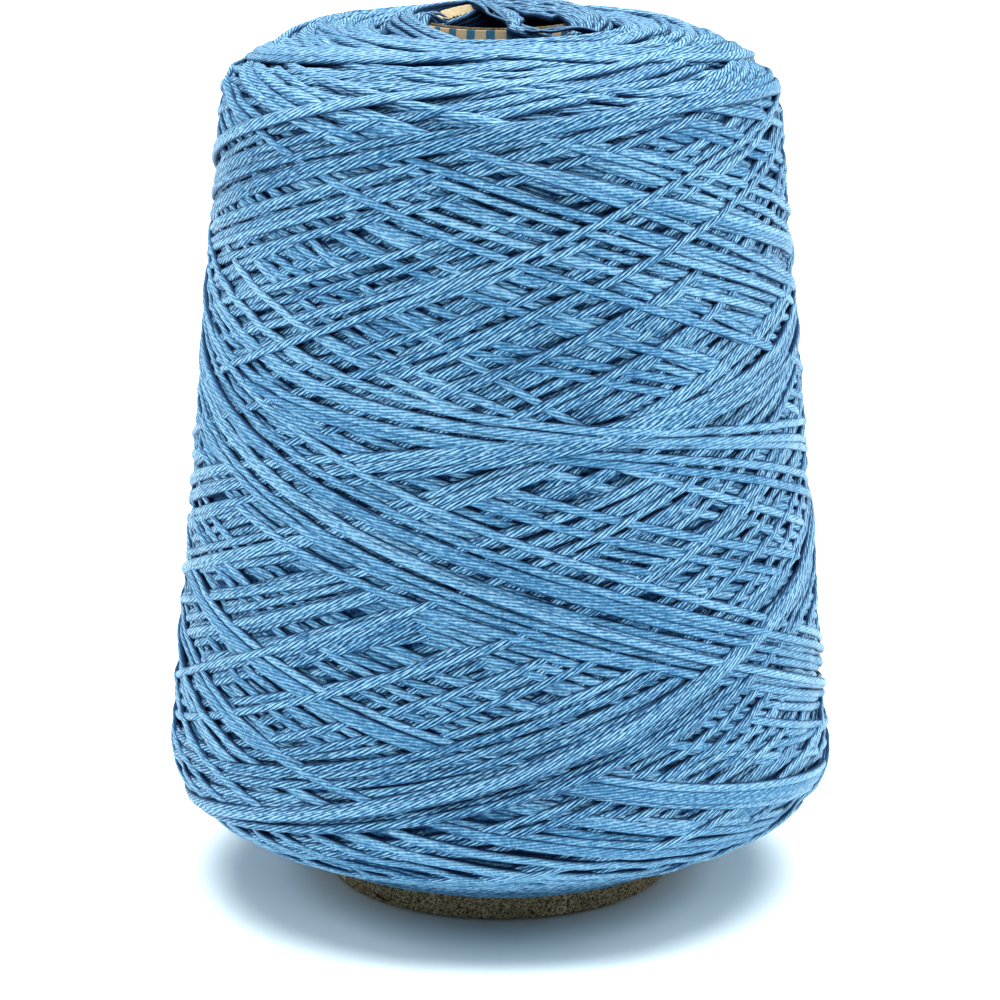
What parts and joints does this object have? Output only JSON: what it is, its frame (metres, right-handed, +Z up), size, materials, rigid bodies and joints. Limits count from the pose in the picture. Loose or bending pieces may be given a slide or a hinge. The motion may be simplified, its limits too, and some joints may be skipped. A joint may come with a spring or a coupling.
{
  "type": "yarn cone",
  "caption": "Tapered package of plied light-blue yarn, cross-wound in crossing strands over a paperboard cone, standing on the cone's open foot.",
  "frame": {"origin": "on the cone's axis, in the plane of its foot", "axes": "+Z up the axis from the foot to the nose; -Y is the front, +X to the right"},
  "size_m": [0.1306, 0.1305, 0.1705],
  "materials": {
    "grey_board": "matt, speckled with fibres",
    "printed_board": "matt, printed bars round the nose",
    "torn_board": "matt, torn",
    "yarn": "soft, slightly lustrous plied yarn"
  },
  "bodies": {
    "root": {"inner_ply": "grey_board", "second_ply": "grey_board", "third_ply": "grey_board", "cover_ply": "printed_board", "torn_flap": "torn_board", "starter_winding": "yarn", "second_winding": "yarn", "third_winding": "yarn", "fourth_winding": "yarn", "fifth_winding": "yarn", "sixth_winding": "yarn", "seventh_winding": "yarn", "outer_winding": "yarn"}
  },
  "joints": []
}
